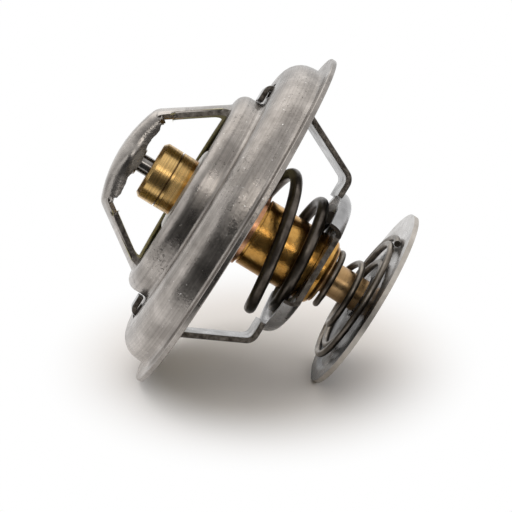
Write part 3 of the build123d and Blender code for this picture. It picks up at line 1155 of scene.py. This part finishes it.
@dataclass
class WaxElement:
    """The brass case with its band, the turned guide and the stem below."""

    case: float = 6.4
    case_bore: float = 5.5
    case_bottom: float = -17.9
    case_top: float = 10.27
    case_floor: float = 1.6
    core: float = 0.4
    end_round: float = 1.0
    groove: float = -3.3
    groove_width: float = 0.45
    groove_depth: float = 0.35
    groove_round: float = 0.08
    band: float = 6.83
    band_low: float = -3.0
    band_high: float = 6.6
    guide: float = 5.45
    guide_top: float = 18.0
    guide_low: float = 2.6
    guide_chamfer: float = 0.65
    guide_groove: float = 14.3
    guide_groove_half: float = 0.14
    guide_groove_depth: float = 0.3
    guide_groove_flank: float = 0.03
    guide_shade: float = 11.95
    guide_bore: float = 1.75
    steps_low: float = 11.4
    steps_count: int = 9
    step_pitch: float = 0.26
    step_depth: float = 0.05
    step_run: float = 0.08
    wiper_bore: float = 2.88
    wiper_seat: float = 16.37
    stem: float = 3.1
    stem_end: float = -29.3
    stem_neck: float = 2.6
    neck_low: float = -28.5
    neck_high: float = -27.6
    spigot: float = 2.2
    spigot_low: float = -17.93
    spigot_top: float = -16.7
    washer: float = 5.5
    washer_low: float = -18.33

    def cup(self) -> Object:
        """Turns the case as a cup, closed below, with its groove and rounded end.

        Returns:
            The finished mesh.
        """
        low, high = self.groove - self.groove_width / 2, self.groove + self.groove_width / 2
        neck, floor = self.case - self.groove_depth, self.case_bottom + self.case_floor
        outside = rounded([(self.core, self.case_bottom), (self.case, self.case_bottom), (self.case, low),
                           (neck, low), (neck, high), (self.case, high), (self.case, self.case_top)],
                          [self.end_round, self.groove_round, 0, 0, self.groove_round], 6)
        inside = [(self.case_bore, self.case_top), (self.case_bore, floor), (self.core, floor)]
        return settle(turn([*outside, *inside], solid=True), "case_cup", 25)

    def sleeve(self) -> Object:
        """Turns the thin band round the case.

        Returns:
            The finished mesh.
        """
        inner = self.case + CLEAR
        return settle(turn([(inner, self.band_low), (self.band, self.band_low), (self.band, self.band_high),
                            (inner, self.band_high)]), "case_band")

    def bush(self) -> Object:
        """Turns the guide, with a chamfer, a groove and fine steps near its foot.

        Returns:
            The finished mesh.
        """
        low, high = self.guide_groove - self.guide_groove_half, self.guide_groove + self.guide_groove_half
        bottom = self.guide - self.guide_groove_depth
        outside = [(self.guide, self.guide_low)]
        for index in range(self.steps_count):
            z = self.steps_low + index * self.step_pitch
            outside += [(self.guide, z), (self.guide - self.step_depth, z + self.step_run),
                        (self.guide, z + 2 * self.step_run)]
        flank = self.guide_groove_flank
        outside += [(self.guide, low), (bottom, low + flank), (bottom, high - flank), (self.guide, high),
                    (self.guide, self.guide_top - self.guide_chamfer),
                    (self.guide - self.guide_chamfer, self.guide_top)]
        inside = [(self.wiper_bore, self.guide_top), (self.wiper_bore, self.wiper_seat),
                  (self.guide_bore, self.wiper_seat), (self.guide_bore, self.guide_low)]
        return settle(turn([*outside, *inside]), "guide_turned", 20)

    def in_groove(self, centre: Vector, normal: Vector) -> bool:
        """Tells whether a face of the guide lies in its groove, which is painted dark brown as shade."""
        off = abs(centre.z - self.guide_groove)
        return off < self.guide_groove_half + 0.02 and centre.xy.length < self.guide - 0.1

    def in_lip_shade(self, centre: Vector, normal: Vector) -> bool:
        """Tells whether a face of the guide is near the lip of the collar, where the darker case brass is
        painted on as shade.
        """
        return centre.z < self.guide_shade

    def rod(self) -> Object:
        """Turns the stem, with a neck for its clip and a spigot that enters the case.

        Returns:
            The finished mesh.
        """
        line = [(self.core, self.stem_end), (self.stem, self.stem_end), (self.stem, self.neck_low),
                (self.stem_neck, self.neck_low), (self.stem_neck, self.neck_high),
                (self.stem, self.neck_high), (self.stem, self.spigot_low), (self.spigot, self.spigot_low),
                (self.spigot, self.spigot_top)]
        line = rounded(line, [0.3, 0, 0, 0, 0, 0.1, 0])
        return settle(turn(line, solid=True, steps=128), "stem_turned")

    def ring(self) -> Object:
        """Turns the washer between the case and the coil.

        Returns:
            The finished mesh.
        """
        inner, top = self.stem + CLEAR, self.case_bottom - CLEAR
        corners = [(inner, top), (inner, self.washer_low), (self.washer, self.washer_low),
                   (self.washer, top), (inner, top)]
        return settle(turn(rounded(corners, [0, 0.25, 0.1])[:-1], steps=160), "washer_step")

    def build(self) -> None:
        """Turns, dresses and ties the pieces of the element."""
        fit_out(dress(self.cup(), CASE), "valve", "case_brass", "element_case")
        fit_out(dress(self.sleeve(), BAND), "valve", "sleeve_copper", "case_sleeve")
        # By the collar lip the guide takes the darker case brass as painted shade; its groove takes the
        # painted groove shade.
        guide = dress(self.bush(), GUIDE, (CASE, self.in_lip_shade), (GROOVE_SHADE, self.in_groove))
        fit_out(guide, "valve", "guide_brass", "guide_bush")
        fit_out(dress(self.rod(), STEM), "valve", "stem_brass", "bypass_stem")
        fit_out(dress(self.ring(), STEM), "valve", "stem_brass", "spring_washer")


@dataclass
class Valve:
    """The dished valve plate and the small inner pieces that keep their CAD shape."""

    sheet: float = 1.0
    hub: float = 8.3
    hub_height: float = 11.3
    trough_height: float = 7.7
    trough: float = 15.5
    rim: float = 18.0
    rim_height: float = 9.37
    guide: float = 5.48
    slope: float = 1.1
    bend_round: float = 1.4
    foot_round: float = 0.4

    def build(self) -> None:
        """Builds the plate and dresses the CAD nodes."""
        corners = [(self.guide, self.hub_height), (self.hub, self.hub_height), (self.hub, self.trough_height),
                   (self.trough, self.trough_height), (self.trough + self.slope, self.rim_height),
                   (self.rim, self.rim_height)]
        rounds = [self.bend_round, self.foot_round, self.foot_round, self.bend_round]
        plate = turn(sheet_loop(rounded(corners, rounds, 8), -self.sheet))
        dress(settle(plate, "plate_dished"), PLATE)
        fit_out(plate, "valve", "plate_steel", "valve_plate")
        kept = {"valve_seal": RUBBER, "pin_wiper": WIPER, "boot_washer": PIN, "rubber_boot": RUBBER,
                "wax_charge": WAX, "stem_clip": COIL}
        for node, finish in kept.items():
            piece = bpy.data.objects[node]
            piece.data.materials.clear()
            piece.data.materials.append(finish.material())
            LOG.info("%s: kept from the frame, %s", node, finish.name)


@dataclass
class BypassDisc:
    """The pressed disc that slides on the stem."""

    sheet: float = 0.9
    bore: float = 3.15
    rim: float = 17.3
    top: float = -26.1
    dish: float = 14.6
    depth: float = 0.5
    neck: float = 1.1
    bend_round: float = 0.4
    dish_round: float = 1.3

    def at_rim(self, centre: Vector, normal: Vector) -> bool:
        """Tells whether a face belongs to the cut rim of the disc."""
        return abs(normal.z) < 0.9 and centre.xy.length > self.rim - 0.5

    def build(self) -> None:
        """Turns the disc as a sheet with a dish and a neck."""
        low, inner = self.top - self.depth, self.bore + self.sheet
        corners = [(inner, low + self.neck), (inner, low), (self.dish - self.depth, low),
                   (self.dish + self.depth, self.top), (self.rim, self.top)]
        line = rounded(corners, [self.bend_round, self.bend_round, self.dish_round], 6)
        disc = settle(turn(sheet_loop(line, -self.sheet)), "disc_pressed", 20)
        fit_out(dress(disc, DISC, (DISC_EDGE, self.at_rim)), "bypass", "disc_steel", "bypass_disc")


# Studio

@dataclass
class Studio:
    """Camera, lamps, white surroundings and the floor that the part lies on."""

    camera_up: float = 5.43
    camera_roll: float = -58.69
    distance: float = 300.0
    scale: float = 5.639
    image: int = 512
    sensor: float = 36.0
    offset: Point2 = (4.25, -6.74)
    lift: float = 1.1
    rim: float = 33.1
    floor_turn: float = -15.0
    floor_slope: float = 31.8
    floor_front: float = 61.0
    floor_gap: float = 0.05
    floor_colour: Row = (0.86, 0.82, 0.785, 1)
    shadow_at: Point2 = (1.0, -18.0)
    shadow_radii: Point2 = (42.0, 60.0)
    shadow_fade: Point2 = (0.45, 1.0)
    soft_colour: Row = (0.8, 0.8, 0.8, 1)
    dark_way: Point3 = (-0.44, -0.66, 0.66)
    dark_fade: Point2 = (-0.2, 0.85)
    dark_level: float = 0.07
    behind_fade: Point2 = (-0.4, 0.1)
    right: Vector = field(init=False)
    up: Vector = field(init=False)
    back: Vector = field(init=False)
    target: Vector = field(init=False)

    def __post_init__(self) -> None:
        """Works out the axes of the picture."""
        tilt, roll = math.radians(self.camera_up), math.radians(self.camera_roll)
        side, top = Vector((1, 0, 0)), Vector((0, math.sin(tilt), math.cos(tilt)))
        self.back = Vector((0, -math.cos(tilt), math.sin(tilt)))
        self.right = side * math.cos(roll) + top * math.sin(roll)
        self.up = top * math.cos(roll) - side * math.sin(roll)
        self.target = self.right * self.offset[0] + self.up * self.offset[1] + Vector((0, 0, self.lift))

    def place(self, right: float, up: float, back: float) -> Vector:
        """A place in metres from millimetres to the right, up and towards the camera."""
        return (self.target + self.right * right + self.up * up + self.back * back) * MM

    def camera(self) -> None:
        """Makes the camera of the photograph."""
        data = bpy.data.cameras.new("camera")
        data.sensor_width = self.sensor
        data.lens = self.scale * self.distance / self.image * self.sensor
        data.clip_start, data.clip_end = 0.01, 20
        camera = bpy.data.objects.new("camera", data)
        bpy.context.scene.collection.objects.link(camera)
        turned = Matrix((self.right, self.up, self.back)).transposed().to_4x4()
        camera.matrix_world = Matrix.Translation(self.place(0, 0, self.distance)) @ turned
        bpy.context.scene.camera = camera

    def lamp(self, name: str, at: Point3, size: Point2, watts: float, colour: Colour = (1, 1, 1)) -> None:
        """Adds a soft rectangular lamp that faces the part.

        Args:
            name: the lamp's name.
            at: its place to the right, up and towards the camera, in millimetres.
            size: its length along the part's axis and its width, in millimetres.
            watts: its power.
            colour: its colour.
        """
        data = bpy.data.lights.new(name, "AREA")
        data.shape, data.size, data.size_y = "RECTANGLE", size[0] * MM, size[1] * MM
        data.energy, data.color = watts, colour
        lamp = bpy.data.objects.new(name, data)
        bpy.context.scene.collection.objects.link(lamp)
        lamp.location = self.place(*at)
        lamp.rotation_mode = "QUATERNION"
        away = (lamp.location - self.place(0, 0, 0)).normalized()
        length = (Vector((0, 0, 1)) - away * away.z).normalized()
        lamp.rotation_quaternion = Matrix((length, away.cross(length), away)).transposed().to_quaternion()

    def surroundings(self) -> None:
        """Lights the part from all round: bright above it, darker on the camera's side, white in view."""
        world = bpy.data.worlds.new("studio")
        bpy.context.scene.world = world
        world.use_nodes = True
        graph = Graph(world.node_tree)
        right, up, back = self.dark_way
        inputs = {0: graph.add("ShaderNodeTexCoord").outputs["Generated"],
                  1: (self.back * back + self.right * right + self.up * up).normalized()}
        toward = graph.add("ShaderNodeVectorMath", inputs, operation="DOT_PRODUCT").outputs["Value"]
        level = graph.span(toward, self.dark_fade, (1.0, self.dark_level), smooth=True)
        behind = graph.span(toward, self.behind_fade, (1.0, 0.0), smooth=True)
        rays = graph.add("ShaderNodeLightPath").outputs
        mirrored = graph.join("ADD", rays["Is Glossy Ray"], rays["Is Transmission Ray"])
        shown = graph.join("MAXIMUM", rays["Is Camera Ray"], graph.join("MULTIPLY", mirrored, behind))
        soft = graph.add("ShaderNodeBackground", {"Color": self.soft_colour, "Strength": level})
        white = graph.add("ShaderNodeBackground", {"Color": (1, 1, 1, 1), "Strength": 1.0})
        both = graph.add("ShaderNodeMixShader", {0: shown, 1: soft.outputs[0], 2: white.outputs[0]})
        graph.add("ShaderNodeOutputWorld", {"Surface": both.outputs[0]})

    def floor_plane(self) -> Object:
        """Lays a plane against the rims of the flange and the disc, its middle under the shadow.

        Returns:
            The plane.
        """
        slope, angle = math.radians(self.floor_slope), math.radians(self.floor_turn)
        flat = Vector((math.cos(angle), math.sin(angle), 0))
        normal = flat * math.cos(slope) + Vector((0, 0, math.sin(slope)))
        across = (self.right - normal * self.right.dot(normal)).normalized()
        deselect()
        bpy.ops.mesh.primitive_plane_add(size=6)
        plane = bpy.context.active_object
        plane.name = "floor"
        for corner in plane.data.vertices:
            corner.co.y = max(corner.co.y, -self.floor_front * MM)
        plane.rotation_mode = "QUATERNION"
        turned = Matrix((across, normal.cross(across), normal)).transposed()
        plane.rotation_quaternion = turned.to_quaternion()
        ray = self.right * self.shadow_at[0] + self.up * self.shadow_at[1] + self.target
        below = flat * -self.rim - normal * self.floor_gap
        plane.location = (ray + self.back * ((below - ray).dot(normal) / self.back.dot(normal))) * MM
        return plane

    def floor(self) -> None:
        """Makes the floor: paper under the part that fades to white round it, and clear from below."""
        plane = self.floor_plane()
        material = bpy.data.materials.new("floor_paper")
        material.use_nodes = True
        graph = Graph(material.node_tree)
        inputs = {"Vector": graph.add("ShaderNodeTexCoord").outputs["Object"],
                  "Scale": (*(1 / (radius * MM) for radius in self.shadow_radii), 1)}
        place = graph.add("ShaderNodeMapping", inputs).outputs[0]
        away = graph.add("ShaderNodeVectorMath", {0: place}, operation="LENGTH").outputs["Value"]
        fade = graph.span(away, self.shadow_fade, smooth=True)
        paper = graph.add("ShaderNodeBsdfDiffuse", {"Color": self.floor_colour}).outputs[0]
        glow = graph.add("ShaderNodeEmission").outputs[0]
        above = graph.add("ShaderNodeMixShader", {0: fade, 1: paper, 2: glow}).outputs[0]
        clear = graph.add("ShaderNodeBsdfTransparent").outputs[0]
        below = graph.add("ShaderNodeNewGeometry").outputs["Backfacing"]
        both = graph.add("ShaderNodeMixShader", {0: below, 1: above, 2: clear}).outputs[0]
        graph.add("ShaderNodeOutputMaterial", {"Surface": both})
        plane.data.materials.append(material)

    def build(self) -> None:
        """Sets up the whole studio."""
        self.camera()
        self.surroundings()
        self.floor()
        self.lamp("softbox_above", (-120, 800, -200), (1200, 1000), 3.2, (1.0, 0.985, 0.96))
        self.lamp("softbox_left", (-700, 60, 260), (420, 640), 0.7)
        self.lamp("softbox_front", (100, 165, 675), (560, 150), 0.66, (1.0, 0.97, 0.93))
        bpy.context.scene.view_settings.view_transform = "Standard"


def main() -> None:
    """Builds every sub-assembly in order."""
    logging.basicConfig(level=logging.INFO, format="%(name)s: %(message)s")
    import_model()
    Studio().build()
    for part in (Housing(), Pin(), Bracket(), Springs(), WaxElement(), Valve(), BypassDisc()):
        part.build()
        LOG.info("%s built", type(part).__name__)
    deselect()
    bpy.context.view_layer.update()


if __name__ == "__main__":
    main()
